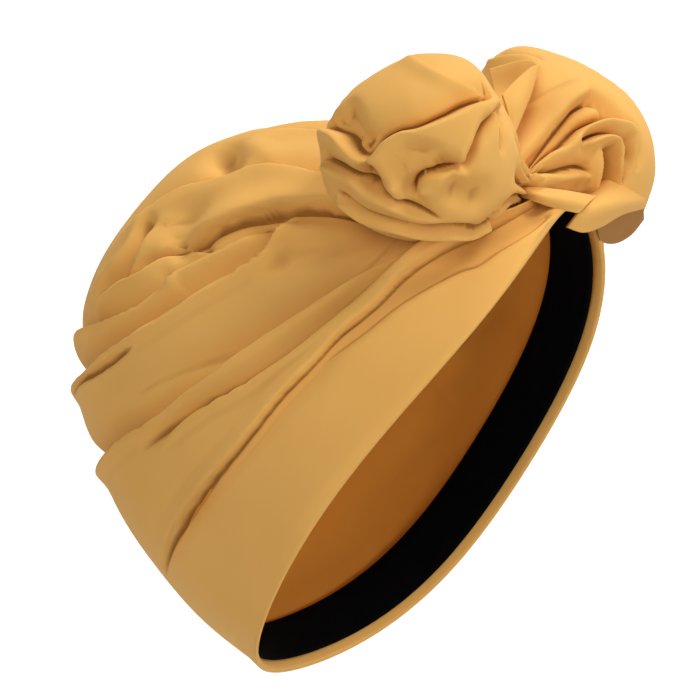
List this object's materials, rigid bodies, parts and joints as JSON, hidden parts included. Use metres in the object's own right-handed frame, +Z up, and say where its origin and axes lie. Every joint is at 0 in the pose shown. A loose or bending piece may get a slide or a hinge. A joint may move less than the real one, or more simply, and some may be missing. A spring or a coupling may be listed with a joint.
{
  "type": "turban headwrap",
  "caption": "Pleated cloth turban cap, open at the rim, with a stretch band inside and a knot of gathered puffs at the forehead.",
  "frame": {"origin": "middle of the opening that the head goes into, halfway between the rim's forehead and nape points", "axes": "as worn upright: +Z up, -Y towards the wearer's face, +X towards the wearer's left; the rim slopes 56.5 degrees from the forehead down to the nape"},
  "size_m": [0.1675, 0.2009, 0.2247],
  "materials": {
    "turban_cloth": "smooth mustard yellow cotton jersey with a soft sheen",
    "stretch_band": "black brushed stretch band"
  },
  "bodies": {
    "root": {"crown": "turban_cloth", "inner_band": "stretch_band", "right_puff": "turban_cloth", "left_puff": "turban_cloth", "knot_tuck": "turban_cloth", "knot_wrap": "turban_cloth"}
  },
  "joints": []
}
